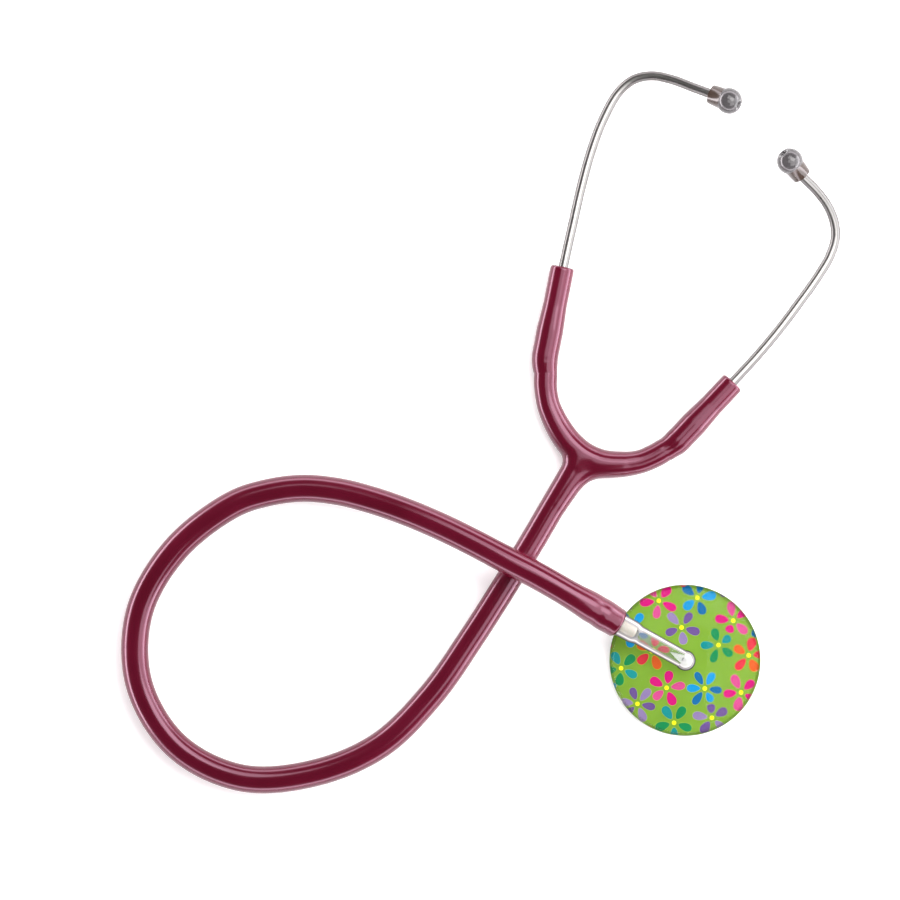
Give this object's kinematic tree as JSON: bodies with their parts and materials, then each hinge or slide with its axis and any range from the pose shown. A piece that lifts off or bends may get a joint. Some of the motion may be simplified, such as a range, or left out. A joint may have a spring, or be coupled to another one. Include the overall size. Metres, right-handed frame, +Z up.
{
  "type": "stethoscope",
  "caption": "Single-head stethoscope: clear flower-print chestpiece, looped hose, sprung Y tubing, swivelling ear tubes, pull-off eartips.",
  "frame": {"origin": "centre of the diaphragm's outer face, on the surface the stethoscope lies on", "axes": "+Z up out of the table; +X and +Y lie in the table, +Y roughly from the chestpiece towards the eartips"},
  "size_m": [0.2611, 0.2623, 0.0249],
  "materials": {
    "clear_acrylic": "clear polished acrylic",
    "printed_film": "lime green film with small coloured flowers",
    "white_plastic": "satin white",
    "ivory_plastic": "pearly ivory moulding",
    "grey_rubber": "soft matte",
    "burgundy_pvc": "glossy dip-moulded vinyl",
    "spring_steel": "bright strip",
    "brass": "turned",
    "stainless": "polished tube",
    "smoky_vinyl": "soft smoky translucent vinyl"
  },
  "bodies": {
    "root": {"y_hub": "burgundy_pvc", "hose_main": "burgundy_pvc", "hose_flex": "burgundy_pvc", "leaf_spring": "spring_steel"},
    "stem": {"hose_end": "burgundy_pvc", "stem_connector": "ivory_plastic", "stem_o_ring": "grey_rubber"},
    "head": {"head_body": "clear_acrylic", "print_disc": "printed_film", "backing_cup": "white_plastic"},
    "ring": {"retaining_ring": "clear_acrylic"},
    "membrane": {"diaphragm": "white_plastic"},
    "left_arm": {"left_arm_flex": "burgundy_pvc", "left_sleeve": "burgundy_pvc"},
    "left_ear": {"left_ear_tube": "stainless", "left_tube_ferrule": "brass", "left_tip_nipple": "stainless"},
    "left_tip": {"left_eartip": "smoky_vinyl"},
    "right_arm": {"right_arm_flex": "burgundy_pvc", "right_sleeve": "burgundy_pvc"},
    "right_ear": {"right_ear_tube": "stainless", "right_tube_ferrule": "brass", "right_tip_nipple": "stainless"},
    "right_tip": {"right_eartip": "smoky_vinyl"}
  },
  "joints": [
    {"name": "hose_lift", "type": "hinge", "parent": "root", "child": "stem", "pos_m": [-0.0483, 0.027, 0.0203], "axis": [-0.4817, -0.8763, 0], "range_deg": [0, 30], "stiffness_Nm_per_rad": 0.05, "deforming": ["hose_flex"]},
    {"name": "head_swivel", "type": "hinge", "parent": "stem", "child": "head", "pos_m": [0, 0, 0.0095], "axis": [-0.8572, 0.4712, 0.2079], "range_deg": [-90, 90]},
    {"name": "ring_turn", "type": "hinge", "parent": "head", "child": "ring", "pos_m": [0, 0, 0.002], "axis": [0, 0, 1], "continuous": true},
    {"name": "diaphragm_press", "type": "slide", "parent": "head", "child": "membrane", "axis": [0, 0, 1], "range_m": [0, 0.0004], "stiffness_N_per_m": 1000},
    {"name": "left_arm_spread", "type": "hinge", "parent": "root", "child": "left_arm", "pos_m": [-0.05, 0.0955, 0.005], "axis": [0, 0, 1], "range_deg": [-4, 28], "stiffness_Nm_per_rad": 0.5, "deforming": ["left_arm_flex", "leaf_spring"]},
    {"name": "left_tube_swivel", "type": "hinge", "parent": "left_arm", "child": "left_ear", "pos_m": [-0.0509, 0.1072, 0.005], "axis": [0.1857, 0.9826, 0], "range_deg": [-15, 15]},
    {"name": "left_eartip_pull", "type": "slide", "parent": "left_ear", "child": "left_tip", "axis": [0.8731, -0.3474, 0.342], "range_m": [0, 0.012]},
    {"name": "right_arm_spread", "type": "hinge", "parent": "root", "child": "right_arm", "pos_m": [-0.0153, 0.0722, 0.005], "axis": [0, 0, 1], "range_deg": [-28, 4], "stiffness_Nm_per_rad": 0.5, "deforming": ["right_arm_flex", "leaf_spring"]},
    {"name": "right_tube_swivel", "type": "hinge", "parent": "right_arm", "child": "right_ear", "pos_m": [-0.005, 0.0773, 0.005], "axis": [0.6858, 0.7278, 0], "range_deg": [-15, 15]},
    {"name": "right_eartip_pull", "type": "slide", "parent": "right_ear", "child": "right_tip", "axis": [-0.6065, 0.7177, 0.342], "range_m": [0, 0.012]}
  ],
  "couplings": [
    {"joint": "right_arm_spread", "follows": "left_arm_spread", "ratio": -1}
  ]
}
